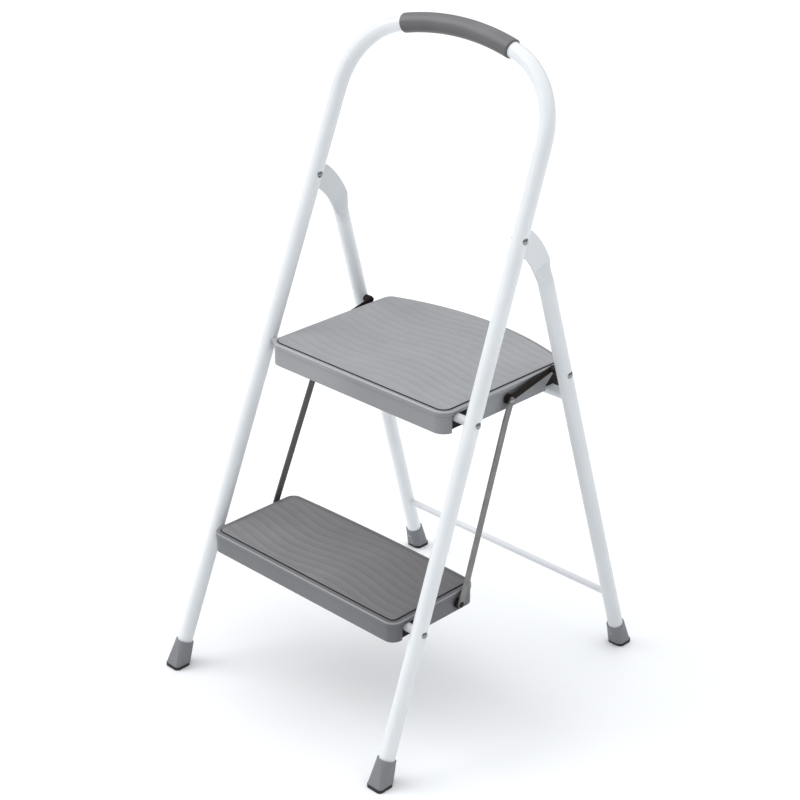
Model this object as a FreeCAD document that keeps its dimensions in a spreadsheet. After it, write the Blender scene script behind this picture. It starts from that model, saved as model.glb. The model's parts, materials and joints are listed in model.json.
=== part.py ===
import FreeCAD, Part
import Sketcher
import math
import os

Vector = FreeCAD.Vector
Rotation = FreeCAD.Rotation
Placement = FreeCAD.Placement
X_AXIS = Vector(1, 0, 0)
Y_AXIS = Vector(0, 1, 0)
Z_AXIS = Vector(0, 0, 1)

# A two-step folding step stool. The front frame is one bent tube that leans back; a shorter
# rear frame is hinged to it, and both steps pivot on the front legs. The row frame has +Z up,
# +X to the right and the front at -Y, with its origin on the floor below the middle of the feet.

doc = FreeCAD.newDocument("StepStool")

# ---------------------------------------------------------------- driving dimensions (mm, deg)

DIMENSIONS = [
    ("tube_diameter", 22.2, "front frame and rear leg tube"),
    ("tube_wall", 1.2, "wall of those tubes"),
    ("front_lean", 21.3, "lean of the front frame from the vertical"),
    ("rear_lean", 16.4, "lean of the rear legs from the vertical"),
    ("leg_taper", 1.5, "each leg leans in towards the middle by this"),
    ("foot_half_width", 212.4, "middle plane to a leg's axis on the floor"),
    ("foot_spread", 516.5, "front legs to rear legs on the floor"),
    ("arch_top", 1005.4, "top of the arch's centre line, along the front frame"),
    ("arch_bend_radius", 112, "bend between a leg and the top of the arch"),
    ("arch_crown_angle", 15, "slope of the arch's top where the bends begin"),
    ("hinge_along", 760, "frame hinge, along the front frame"),
    ("upper_pivot_along", 511.8, "upper step pivot, along the front frame"),
    ("lower_pivot_along", 220.5, "lower step pivot, along the front frame"),
    ("leg_end_along", 11, "lower end of every leg tube, along the leg"),
    ("grip_diameter", 27.6, "hand grip sleeve"),
    ("grip_half_width", 98.5, "middle plane to an end of the grip"),
    ("grip_round", 2.2, "rounding of the grip's ends"),
    ("rear_tube_end", 664, "where a rear leg stops being round"),
    ("paddle_start", 688, "where a rear leg is fully flattened"),
    ("paddle_thickness", 3.2, "flattened tube"),
    ("paddle_width", 33, "flattened tube"),
    ("shoulder_behind", 19.5, "where the paddle narrows, behind the hinge"),
    ("shoulder_above", 15, "its upper shoulder, above the hinge along the front frame"),
    ("shoulder_below", 22.5, "its lower shoulder, below the hinge along the front frame"),
    ("paddle_rear_bow", 3.5, "bow of the paddle's rear edge"),
    ("paddle_front_bow", 1.8, "bow of the paddle's front edge"),
    ("paddle_eye", 8.8, "round end of the paddle inside the front tube"),
    ("slot_above", 19, "slot in the front tube, above the hinge"),
    ("slot_below", 50, "slot in the front tube, below the hinge"),
    ("upper_bar_along", 471.2, "upper rear cross bar, along the rear legs"),
    ("upper_bar_diameter", 16, "upper rear cross bar"),
    ("lower_bar_along", 98, "lower rear cross bar, along the rear legs"),
    ("lower_bar_diameter", 10, "lower rear cross bar"),
    ("short_link_along", 510.8, "short link pivot, along the rear legs"),
    ("boot_width", 27.4, "square foot boot"),
    ("boot_top_diameter", 26.8, "round mouth of a boot"),
    ("front_boot_corner", 2, "how far a front boot's corners are rounded off, on the floor"),
    ("rear_boot_corner", 3.2, "how far a rear boot's corners are rounded off, on the floor"),
    ("front_boot_along", 40, "mouth of a front boot, along the leg"),
    ("rear_boot_along", 38, "mouth of a rear boot, along the leg"),
    ("pad_thickness", 5, "rubber pad under a boot"),
    ("pad_width", 27.8, "rubber pad under a boot"),
    ("front_pad_corner", 6, "rounded corners of a front pad"),
    ("rear_pad_corner", 7.5, "rounded corners of a rear pad"),
    ("pad_edge", 0.8, "rounding of a pad's lower edge"),
    ("boot_pin_along", 27, "pin of a rear boot, along the leg"),
    ("boot_pin_diameter", 3, "shaft of that pin"),
    ("boot_pin_head_radius", 3.2, "head of that pin"),
    ("boot_pin_head_height", 1.1, "head of that pin"),
    ("rivet_diameter", 8, "frame hinge and step pivot rivets"),
    ("link_pin_diameter", 5, "pins of the link bars"),
    ("running_gap", 0.06, "radial clearance of a running fit"),
    ("side_gap", 0.3, "clearance between faces that slide past each other"),
    ("head_height", 2.6, "domed rivet head"),
    ("head_radius", 5.4, "domed rivet head"),
    ("head_seat", 0.8, "depth to which a head is set into the round tube"),
    ("link_head_radius", 4.4, "heads on the link bars"),
    ("link_head_height", 2, "outer head of an upper link pin"),
    ("thin_head_height", 0.8, "lower link pins and the rear ends of the short links"),
    ("boss_diameter", 14, "boss between a step and its long link"),
    ("spacer_diameter", 12.6, "white spacer on a step pivot"),
    ("wall", 3, "moulded walls of a step"),
    ("deck", 4, "moulded deck of a step"),
    ("rim_height", 7, "band around the deck's edge"),
    ("rim_overhang", 1, "band beyond the wall below it"),
    ("rim_round", 2.2, "rounding of the band's upper edge"),
    ("upper_mat_margin", 5, "upper step's edge to its mat's recess"),
    ("lower_mat_margin", 7, "lower step's edge to its mat's recess"),
    ("mat_recess", 1.8, "depth of the mat's recess in the deck"),
    ("mat_thickness", 2.8, "tread mat, which stands a little above the deck"),
    ("mat_gap", 1.8, "groove around the mat"),
    ("rib", 2.4, "ribs under a deck"),
    ("rib_height", 14.5, "ribs under a deck"),
    ("cross_rib_pitch", 55, "ribs that run from side to side"),
    ("least_corner", 2, "smallest corner of a deck outline"),
    ("notch_ahead", 9, "notch in a side wall, ahead of the step's pivot"),
    ("notch_behind", 24, "the same notch, behind the pivot"),
    ("hook_notch", 16.5, "notch of the upper step's wall, to either side of the cross bar"),
    ("hook_notch_top", 3, "top of that notch, above the step's pivot"),
    ("hook_notch_slope", 15, "its front corner, below its top"),
    ("upper_half_width", 172.4, "upper step, over the band"),
    ("upper_front", -25.9, "upper step's front edge, from its pivot"),
    ("upper_rear", 253.5, "upper step's rear edge on the middle plane"),
    ("upper_top", 12.4, "upper step's deck, above its pivot"),
    ("upper_height", 33, "upper step, deck to lower edge"),
    ("upper_crown_radius", 450, "bow of the upper step's rear edge"),
    ("upper_front_corner", 20, "front corners of the upper step"),
    ("lower_half_width", 185.4, "lower step, over the band"),
    ("lower_front", -28.1, "lower step's front edge, from its pivot"),
    ("lower_rear", 139.5, "lower step's rear edge on the middle plane"),
    ("lower_top", 13.1, "lower step's deck, above its pivot"),
    ("lower_height", 30.5, "lower step, deck to lower edge"),
    ("lower_crown_radius", 4000, "bow of the lower step's rear edge"),
    ("lower_front_corner", 16, "front corners of the lower step"),
    ("rear_corner", 16, "rear corners of both steps"),
    ("upper_rib_pitch", 56, "ribs that run from front to rear"),
    ("lower_rib_pitch", 60, "ribs that run from front to rear"),
    ("link_pin_back", 99.5, "long link pin behind the pivot of its step"),
    ("link_pin_down", 5.5, "long link pin below the pivot of its step"),
    ("bracket_thickness", 3, "steel side brackets of the steps"),
    ("bracket_ahead", 8.5, "side bracket ahead of the pivot"),
    ("bracket_below", 16.5, "side bracket below the pivot"),
    ("bracket_behind", 12, "lower side bracket behind the link pin"),
    ("hook_wall", 7, "steel around the cross bar in the upper side bracket"),
    ("hook_lip", 2, "reach of the hook below the cross bar's axis"),
    ("long_link_width", 10.5, "long link bar"),
    ("short_link_width", 8, "short link bar"),
    ("link_thickness", 2.5, "both link bars"),
    ("upper_link_boss", 3.8, "boss between the upper step and the short link"),
    ("lower_link_boss", 5, "boss between the lower step and the long link"),
    ("set_start", 0.10, "share of a long link above its set"),
    ("set_end", 0.93, "share of a long link above the end of its set"),
]

sheet = doc.addObject("Spreadsheet::Sheet", "Dimensions")
for row, (alias, number, meaning) in enumerate(DIMENSIONS, start=1):
    sheet.set("A%d" % row, str(number))
    sheet.setAlias("A%d" % row, alias)
    sheet.set("B%d" % row, meaning)
doc.recompute()


def value(alias):
    """A driving dimension, in mm or degrees."""
    return float(sheet.get(alias))


def cell(alias):
    """The same dimension as text for an expression."""
    return "Dimensions." + alias


# ---------------------------------------------------------------- frames worked out from them

TUBE_RADIUS = value("tube_diameter") / 2
TAPER = math.radians(value("leg_taper"))
FRONT_LEAN = math.radians(value("front_lean"))
REAR_LEAN = math.radians(value("rear_lean"))
FRONT_PLANE = Placement(Vector(0, -value("foot_spread") / 2, 0), Rotation(X_AXIS, -value("front_lean")))
REAR_PLANE = Placement(Vector(0, value("foot_spread") / 2, 0), Rotation(X_AXIS, value("rear_lean")))


def leg_x(along):
    """Middle plane to a leg's axis, at a distance along the leg."""
    return value("foot_half_width") - math.tan(TAPER) * along


def on_front(along):
    """A point on the middle plane of the front frame, in the row frame."""
    return FRONT_PLANE.multVec(Vector(0, 0, along))


def on_rear(along):
    """A point on the middle plane of the rear legs, in the row frame."""
    return REAR_PLANE.multVec(Vector(0, 0, along))


HINGE = on_front(value("hinge_along"))
UPPER_PIVOT = on_front(value("upper_pivot_along"))
LOWER_PIVOT = on_front(value("lower_pivot_along"))
SHORT_LINK_PIVOT = on_rear(value("short_link_along"))
PIN_OFFSET = Vector(0, value("link_pin_back"), -value("link_pin_down"))
UPPER_PIN = UPPER_PIVOT + PIN_OFFSET
LOWER_PIN = LOWER_PIVOT + PIN_OFFSET
UPPER_SIDE = value("upper_half_width") - value("rim_overhang")
LOWER_SIDE = value("lower_half_width") - value("rim_overhang")
TOLERANCE = 0.01


# ---------------------------------------------------------------- feature helpers

def new_body(name, label, placement=None):
    """An empty PartDesign body."""
    body = doc.addObject("PartDesign::Body", name)
    body.Label = label
    if placement is not None:
        body.Placement = placement
    return body


def new_sketch(body, role, name, offset=None):
    """A sketch on one of the body's own origin planes."""
    plane = next(f for f in body.Origin.OriginFeatures if f.Role == role)
    sketch = body.newObject("Sketcher::SketchObject", name)
    sketch.AttachmentSupport = [(plane, "")]
    sketch.MapMode = "FlatFace"
    if offset is not None:
        sketch.AttachmentOffset = offset
    return sketch


def draw_circle(sketch, x, y, radius_expression):
    """A circle whose radius is bound to the sheet."""
    circle = sketch.addGeometry(Part.Circle(Vector(x, y, 0), Z_AXIS, 1), False)
    radius = sketch.addConstraint(Sketcher.Constraint("Radius", circle, 1))
    sketch.setExpression("Constraints[%d]" % radius, radius_expression)


def draw_polygon(sketch, points):
    """A closed outline of straight edges."""
    corners = [Vector(x, y, 0) for x, y in points]
    for start, end in zip(corners, corners[1:] + corners[:1]):
        sketch.addGeometry(Part.LineSegment(start, end), False)


def draw_edges(sketch, edges):
    """Edges that already meet end to end."""
    for edge in edges:
        sketch.addGeometry(edge, False)


def pad(body, sketch, length_expression, symmetric=False, reverse=False):
    """Material added from a sketch."""
    feature = body.newObject("PartDesign::Pad", sketch.Name + "Pad")
    feature.Profile = sketch
    feature.setExpression("Length", length_expression)
    feature.SideType = "Symmetric" if symmetric else "One side"
    feature.Reversed = reverse
    sketch.Visibility = False
    body.Tip = feature
    doc.recompute()
    return feature


def cut(body, sketch, length_expression=None, symmetric=False, reverse=False):
    """Material removed by a sketch; without a length it goes right through."""
    before = body.Shape.Volume
    feature = body.newObject("PartDesign::Pocket", sketch.Name + "Pocket")
    feature.Profile = sketch
    if length_expression is None:
        feature.Type = "ThroughAll"
    else:
        feature.setExpression("Length", length_expression)
    feature.SideType = "Symmetric" if symmetric else "One side"
    feature.Reversed = reverse
    body.Tip = feature
    doc.recompute()
    if not body.Shape.Volume < before:
        raise RuntimeError(body.Label + ": " + sketch.Name + " removes nothing")
    return feature


def sweep(body, profile, path):
    """A profile carried along a path sketch."""
    feature = body.newObject("PartDesign::AdditivePipe", profile.Name + "Pipe")
    feature.Profile = profile
    feature.Spine = (path, [])
    feature.Transition = "Transformed"
    body.Tip = feature
    doc.recompute()
    return feature


def fillet(body, radius_expression, chosen):
    """Edges of the body's present shape rounded where chosen(edge) is true."""
    base = body.Tip
    names = ["Edge%d" % (i + 1) for i, edge in enumerate(base.Shape.Edges) if chosen(edge)]
    feature = body.newObject("PartDesign::Fillet", "Fillet")
    feature.Base = (base, names)
    feature.setExpression("Radius", radius_expression)
    body.Tip = feature
    doc.recompute()
    return feature


def cylinder(name, radius_expression, length_expression, placement):
    """A Part cylinder; its axis is the placement's Z."""
    shape = doc.addObject("Part::Cylinder", name)
    shape.setExpression("Radius", radius_expression)
    shape.setExpression("Height", length_expression)
    shape.Placement = placement
    return shape


def difference(name, label, base, tool):
    """Base less tool."""
    result = doc.addObject("Part::Cut", name)
    result.Base = base
    result.Tool = tool
    result.Label = label
    return result


def group(name, label, members):
    """Identical fasteners that share one node, each its own solid."""
    compound = doc.addObject("Part::Compound", name)
    compound.Links = members
    compound.Label = label
    return compound


def mirrored(source, name, label):
    """The same piece on the other side of the middle plane."""
    copy = doc.addObject("Part::Mirroring", name)
    copy.Source = source
    copy.Base = Vector(0, 0, 0)
    copy.Normal = X_AXIS
    copy.Label = label
    return copy


# ---------------------------------------------------------------- front frame

def arch_edges(half_width=None):
    """Centre line of the arch as sketch edges, left to right: all of it, or its crown to a half width."""
    bend = value("arch_bend_radius")
    crown = math.radians(value("arch_crown_angle"))
    rise = math.tan(crown / 2)
    bend_start = value("arch_top") + bend * (math.sin(TAPER) - math.cos(crown))
    bend_start -= rise * (value("foot_half_width") + bend * (math.sin(crown) - math.cos(TAPER)))
    bend_start /= 1 - rise * math.tan(TAPER)
    centre = Vector(leg_x(bend_start) - bend * math.cos(TAPER), bend_start - bend * math.sin(TAPER), 0)

    def on_bend(angle):
        return centre + Vector(math.cos(angle), math.sin(angle), 0) * bend

    first = math.pi / 2 - crown
    outer, middle, inner = on_bend(TAPER), on_bend((TAPER + first) / 2), on_bend(first)

    def left(point):
        return Vector(-point.x, point.y, 0)

    top = Vector(0, value("arch_top"), 0)
    if half_width is not None:
        radius = inner.x / math.sin(crown)
        end = Vector(half_width, top.y - radius + math.sqrt(radius ** 2 - half_width ** 2), 0)
        return [Part.Arc(left(end), top, end)]
    return [
        Part.Arc(left(outer), left(middle), left(inner)),
        Part.Arc(left(inner), top, inner),
        Part.Arc(inner, middle, outer),
    ]


def front_frame_tube():
    """One tube bent into the legs and the arch, drilled for the pivots, slotted for the rear legs."""
    body = new_body("FrontFrameTube", "front_frame_tube", FRONT_PLANE)
    start = value("leg_end_along")
    foot = Vector(leg_x(start), start, 0)
    arch = arch_edges()
    path = new_sketch(body, "XZ_Plane", "FrontFramePath")
    leg_left = Part.LineSegment(Vector(-foot.x, foot.y, 0), arch[0].StartPoint)
    leg_right = Part.LineSegment(arch[-1].EndPoint, foot)
    draw_edges(path, [leg_left] + arch + [leg_right])
    across = Placement(Vector(-foot.x, 0, foot.y), Rotation(Y_AXIS, value("leg_taper")))
    section = new_sketch(body, "XY_Plane", "FrontFrameSection", across)
    draw_circle(section, 0, 0, cell("tube_diameter") + " / 2")
    draw_circle(section, 0, 0, cell("tube_diameter") + " / 2 - " + cell("tube_wall"))
    sweep(body, section, path)
    holes = new_sketch(body, "YZ_Plane", "FrontFrameHoles")
    for along in ("hinge_along", "upper_pivot_along", "lower_pivot_along"):
        draw_circle(holes, 0, value(along), cell("rivet_diameter") + " / 2")
    cut(body, holes, symmetric=True)
    slots = new_sketch(body, "XZ_Plane", "FrontFrameSlots")
    top = value("hinge_along") + value("slot_above")
    low = value("hinge_along") - value("slot_below")
    half = value("paddle_thickness") / 2 + value("side_gap")
    for side in (-1, 1):
        x = side * leg_x(value("hinge_along"))
        draw_polygon(slots, [(x - half, low), (x + half, low), (x + half, top), (x - half, top)])
    cut(body, slots, cell("tube_diameter"))
    return body


def hand_grip():
    """Sleeve around the top of the arch."""
    body = new_body("HandGrip", "hand_grip", FRONT_PLANE)
    arch = arch_edges(value("grip_half_width"))
    path = new_sketch(body, "XZ_Plane", "GripPath")
    draw_edges(path, arch)
    end = arch[0].StartPoint
    slope = 90 - math.degrees(arch[0].tangent(arch[0].FirstParameter)[0].getAngle(X_AXIS))
    across = Placement(Vector(end.x, 0, end.y), Rotation(Y_AXIS, slope))
    section = new_sketch(body, "XY_Plane", "GripSection", across)
    draw_circle(section, 0, 0, cell("grip_diameter") + " / 2")
    draw_circle(section, 0, 0, cell("tube_diameter") + " / 2")
    sweep(body, section, path)
    outside = value("grip_diameter") / 2
    fillet(body, cell("grip_round"),
           lambda e: e.Curve.TypeId == "Part::GeomCircle" and abs(e.Curve.Radius - outside) < TOLERANCE)
    return body


# ---------------------------------------------------------------- feet

def on_leg(plane, side):
    """Placement whose Z runs up a leg's axis from the floor."""
    lean = Rotation(Y_AXIS, -side * value("leg_taper"))
    return plane.multiply(Placement(Vector(side * leg_x(0), 0, 0), lean))


def foot_boot(name, label, plane, side, mouth, corner):
    """Moulded boot: a round mouth around the tube that flares to a rounded square base."""
    width = cell("boot_width")
    below = value("boot_width")
    lean = on_leg(plane, side)
    spread = width + " / sqrt(2) - " + cell(corner)
    box = doc.addObject("Part::Box", name + "Block")
    box.setExpression("Length", width)
    box.setExpression("Width", width)
    box.setExpression("Height", cell(mouth) + " + " + width)
    box.Placement = lean.multiply(Placement(Vector(-below / 2, -below / 2, -below), Rotation()))
    cone = doc.addObject("Part::Cone", name + "Flare")
    cone.setExpression("Radius1", spread)
    cone.setExpression("Radius2", cell("boot_top_diameter") + " / 2")
    cone.setExpression("Height", cell(mouth))
    cone.Placement = lean
    skirt = cylinder(name + "Skirt", spread, width,
                     lean.multiply(Placement(Vector(0, 0, -below), Rotation())))
    flare = doc.addObject("Part::Fuse", name + "Envelope")
    flare.Base = cone
    flare.Tool = skirt
    outer = doc.addObject("Part::Common", name + "Outer")
    outer.Base = box
    outer.Tool = flare
    bore = cylinder(name + "Bore", cell("tube_diameter") + " / 2", cell(mouth),
                    lean.multiply(Placement(Vector(0, 0, value("leg_end_along")), Rotation())))
    bored = difference(name + "Bored", name + "Bored", outer, bore)
    if plane is REAR_PLANE:
        hole = cylinder(name + "Hole", cell("boot_pin_diameter") + " / 2", width, boot_pin_axis(side))
        bored = difference(name + "Drilled", name + "Drilled", bored, hole)
    floor = doc.addObject("Part::Box", name + "Floor")
    reach = 4 * below
    floor.Length = reach
    floor.Width = reach
    floor.Height = reach
    foot = plane.multVec(Vector(side * leg_x(0), 0, 0))
    start = Vector(-reach / 2, -reach / 2, -reach + value("pad_thickness"))
    floor.Placement = Placement(foot + start, Rotation())
    return difference(name, label, bored, floor)


def boot_pin_axis(side):
    """Placement on a rear leg's axis whose Z points forward along a boot's pin."""
    across = Placement(Vector(0, 0, value("boot_pin_along")), Rotation(X_AXIS, 90))
    return on_leg(REAR_PLANE, side).multiply(across)


def boot_pins():
    """The pin that holds each rear boot on its leg."""
    inside = TUBE_RADIUS - value("tube_wall")
    profile = rivet_profile(value("boot_pin_diameter") / 2, inside, value("boot_width") / 2, 0,
                            value("boot_pin_head_radius"), value("boot_pin_head_height"))
    pins = []
    for side, hand in ((-1, "Left"), (1, "Right")):
        pin = turned("BootPin" + hand, "BootPin" + hand, Vector(0, 0, 0), profile)
        pin.Placement = boot_pin_axis(side).multiply(Placement(Vector(0, 0, 0), Rotation(Y_AXIS, -90)))
        pins.append(pin)
    return group("BootPins", "boot_pins", pins)


def foot_pad(name, label, plane, side, corner):
    """Rubber pad under a boot: a rounded square plate with its lower edge eased."""
    foot = plane.multVec(Vector(side * leg_x(0), 0, 0))
    body = new_body(name, label, Placement(foot, Rotation()))
    half = value("pad_width") / 2
    outline = new_sketch(body, "XY_Plane", name + "Outline")
    draw_polygon(outline, [(-half, -half), (half, -half), (half, half), (-half, half)])
    pad(body, outline, cell("pad_thickness"))
    fillet(body, cell(corner), lambda e: abs(e.Vertexes[0].Z - e.Vertexes[1].Z) > value("pad_edge"))
    fillet(body, cell("pad_edge"), lambda e: e.BoundBox.ZMax < TOLERANCE)
    return body


# ---------------------------------------------------------------- rear frame

def rear_leg():
    """Right rear leg: a straight tube whose upper end is pressed flat and enters the front tube."""
    body = new_body("RightRearLeg", "right_rear_leg", REAR_PLANE)
    start = value("leg_end_along")
    end = value("rear_tube_end")
    tilted = Rotation(Y_AXIS, -value("leg_taper"))
    section = new_sketch(body, "XY_Plane", "RearLegSection",
                         Placement(Vector(leg_x(start), 0, start), tilted))
    draw_circle(section, 0, 0, cell("tube_diameter") + " / 2")
    draw_circle(section, 0, 0, cell("tube_diameter") + " / 2 - " + cell("tube_wall"))
    pad(body, section, "(%s - %s) / cos(%s * 1 deg)"
        % (cell("rear_tube_end"), cell("leg_end_along"), cell("leg_taper")))

    # round to flat, into the plane of the front tube's axis
    plate_x = leg_x(value("hinge_along"))
    flat = value("paddle_start")
    wide = value("paddle_width") / 2
    round_end = new_sketch(body, "XY_Plane", "RearLegRound", Placement(Vector(leg_x(end), 0, end), tilted))
    draw_circle(round_end, 0, 0, cell("tube_diameter") + " / 2")
    flat_end = new_sketch(body, "XY_Plane", "RearLegFlat", Placement(Vector(plate_x, 0, flat), Rotation()))
    across_flat = Vector(0, wide, 0)
    through_flat = Vector(value("paddle_thickness") / 2, 0, 0)
    flat_end.addGeometry(Part.Ellipse(across_flat, through_flat, Vector(0, 0, 0)), False)
    loft = body.newObject("PartDesign::AdditiveLoft", "RearLegTransition")
    loft.Profile = round_end
    loft.Sections = [flat_end]
    body.Tip = loft
    doc.recompute()

    # the flat paddle curves forward to the hinge and narrows to a round eye inside the front tube
    def near_hinge(behind, above):
        point = FRONT_PLANE.multVec(Vector(0, behind, value("hinge_along") + above))
        point = REAR_PLANE.inverse().multVec(point)
        return Vector(point.y, point.z, 0)

    def bowed_middle(low, high, bow):
        """Middle point of an edge that bows to the rear."""
        run = high - low
        return (low + high) * 0.5 + Vector(run.y, -run.x, 0).normalize() * bow

    def tangent_on_eye(shoulder, side):
        """Where a line from a shoulder touches the eye, on its upper (+1) or lower (-1) side."""
        away = shoulder - eye
        turn = side * math.acos(radius / away.Length)
        direction = Vector(away.x * math.cos(turn) - away.y * math.sin(turn),
                           away.x * math.sin(turn) + away.y * math.cos(turn), 0).normalize()
        return eye + direction * radius

    radius = value("paddle_eye")
    eye = near_hinge(0, 0)
    upper = near_hinge(value("shoulder_behind"), value("shoulder_above"))
    lower = near_hinge(value("shoulder_behind"), -value("shoulder_below"))
    root = end + value("tube_wall")
    rear_side = Vector(wide, flat, 0)
    front_side = Vector(-wide, flat, 0)
    rear_root = Vector(TUBE_RADIUS, root, 0)
    front_root = Vector(-TUBE_RADIUS, root, 0)
    rear_bow = bowed_middle(rear_side, upper, value("paddle_rear_bow"))
    front_bow = bowed_middle(front_side, lower, value("paddle_front_bow"))
    upper_touch = tangent_on_eye(upper, 1)
    lower_touch = tangent_on_eye(lower, -1)
    eye_tip = eye * 2 - (upper_touch + lower_touch) * 0.5
    eye_tip = eye + (eye_tip - eye).normalize() * radius
    outline = new_sketch(body, "YZ_Plane", "PaddleOutline",
                         Placement(Vector(0, 0, plate_x - value("paddle_thickness") / 2), Rotation()))
    draw_edges(outline, [
        Part.LineSegment(front_root, rear_root),
        Part.LineSegment(rear_root, rear_side),
        Part.Arc(rear_side, rear_bow, upper),
        Part.LineSegment(upper, upper_touch),
        Part.Arc(upper_touch, eye_tip, lower_touch),
        Part.LineSegment(lower_touch, lower),
        Part.Arc(lower, front_bow, front_side),
        Part.LineSegment(front_side, front_root),
    ])
    pad(body, outline, cell("paddle_thickness"))
    hole = new_sketch(body, "YZ_Plane", "RearLegHoles")
    draw_circle(hole, eye.x, eye.y, cell("rivet_diameter") + " / 2 + " + cell("running_gap"))
    draw_circle(hole, 0, value("short_link_along"), cell("link_pin_diameter") + " / 2")
    cut(body, hole, symmetric=True)
    pin_hole = new_sketch(body, "XZ_Plane", "RearLegPinHole")
    draw_circle(pin_hole, leg_x(value("boot_pin_along")), value("boot_pin_along"),
                cell("boot_pin_diameter") + " / 2")
    cut(body, pin_hole, cell("tube_diameter"), reverse=True)
    return body


def cross_bar(name, label, along, diameter, bore=None):
    """A bar between the rear legs, its ends shaped to the legs that they are welded to."""
    half = leg_x(value(along)) - TUBE_RADIUS / 2
    lying = Placement(on_rear(value(along)) + Vector(-half, 0, 0), Rotation(Y_AXIS, 90))
    bar = cylinder(name + "Rod", cell(diameter) + " / 2", "2 * %.4f" % half, lying)
    if bore is not None:
        hollow = cylinder(name + "Bore", bore, "2 * %.4f" % half, lying)
        bar = difference(name + "Tube", name + "Tube", bar, hollow)
    reach = 3 * value("tube_diameter")
    legs = []
    for side in (-1, 1):
        low_end = Placement(Vector(0, 0, value(along) - reach / 2), Rotation())
        legs.append(cylinder("%sLeg%d" % (name, side + 1), cell("tube_diameter") + " / 2",
                             "%.4f" % reach, on_leg(REAR_PLANE, side).multiply(low_end)))
    envelope = group(name + "Legs", name + "Legs", legs)
    return difference(name, label, bar, envelope)


# ---------------------------------------------------------------- fasteners on the pivots

def turned(name, label, position, profile):
    """A part turned about a line parallel to X through position; profile is (x, radius) corners."""
    body = new_body(name, label, Placement(Vector(0, position.y, position.z), Rotation()))
    sketch = new_sketch(body, "XY_Plane", name + "Profile")
    draw_edges(sketch, profile)
    feature = body.newObject("PartDesign::Revolution", name + "Turned")
    feature.Profile = sketch
    feature.ReferenceAxis = (sketch, ["H_Axis"])
    feature.Angle = 360
    body.Tip = feature
    doc.recompute()
    return body


def rivet_profile(shaft_radius, inner, outer, inner_head, outer_head, head_height):
    """Half section of a rivet: a shaft from inner to outer and a domed head past either end."""
    edges = []

    def dome(base, tip, radius):
        """Half section of a spherical cap."""
        height = tip - base
        ball = (radius ** 2 + height ** 2) / (2 * height)
        half_way = math.asin(radius / abs(ball)) / 2
        middle = Vector(tip - ball + ball * math.cos(half_way), abs(ball) * math.sin(half_way), 0)
        return Part.Arc(Vector(base, radius, 0), middle, Vector(tip, 0, 0))

    def line(start, end):
        edges.append(Part.LineSegment(start, end))

    left_tip = Vector(inner, 0, 0)
    right_tip = Vector(outer, 0, 0)
    if inner_head:
        left_tip = Vector(inner - head_height, 0, 0)
        edges.append(dome(inner, inner - head_height, inner_head))
        line(Vector(inner, inner_head, 0), Vector(inner, shaft_radius, 0))
    else:
        line(left_tip, Vector(inner, shaft_radius, 0))
    line(Vector(inner, shaft_radius, 0), Vector(outer, shaft_radius, 0))
    if outer_head:
        right_tip = Vector(outer + head_height, 0, 0)
        line(Vector(outer, shaft_radius, 0), Vector(outer, outer_head, 0))
        edges.append(dome(outer, outer + head_height, outer_head))
    else:
        line(Vector(outer, shaft_radius, 0), right_tip)
    line(right_tip, left_tip)
    return edges


def rivet_pair(name, label, position, shaft_radius, inner, outer, inner_head, outer_head, head_height):
    """The same rivet on both sides of the stool."""
    profile = rivet_profile(shaft_radius, inner, outer, inner_head, outer_head, head_height)
    right = turned(name + "Right", name + "Right", position, profile)
    left = mirrored(right, name + "Left", name + "Left")
    return group(name, label, [right, left])


def ring_pair(name, label, position, outer_radius, inner_radius, start, end, leg_plane=None):
    """The same spacer ring on both sides of the stool; on a leg its outer end fits the round tube."""
    profile = [
        Part.LineSegment(Vector(start, inner_radius, 0), Vector(start, outer_radius, 0)),
        Part.LineSegment(Vector(start, outer_radius, 0), Vector(end, outer_radius, 0)),
        Part.LineSegment(Vector(end, outer_radius, 0), Vector(end, inner_radius, 0)),
        Part.LineSegment(Vector(end, inner_radius, 0), Vector(start, inner_radius, 0)),
    ]
    right = turned(name + "Right", name + "Right", position, profile)
    if leg_plane is not None:
        leg = cylinder(name + "Leg", cell("tube_diameter") + " / 2", cell("arch_top"), on_leg(leg_plane, 1))
        right = difference(name + "Fitted", name + "Fitted", right, leg)
    left = mirrored(right, name + "Left", name + "Left")
    return group(name, label, [right, left])


# ---------------------------------------------------------------- steps

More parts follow.
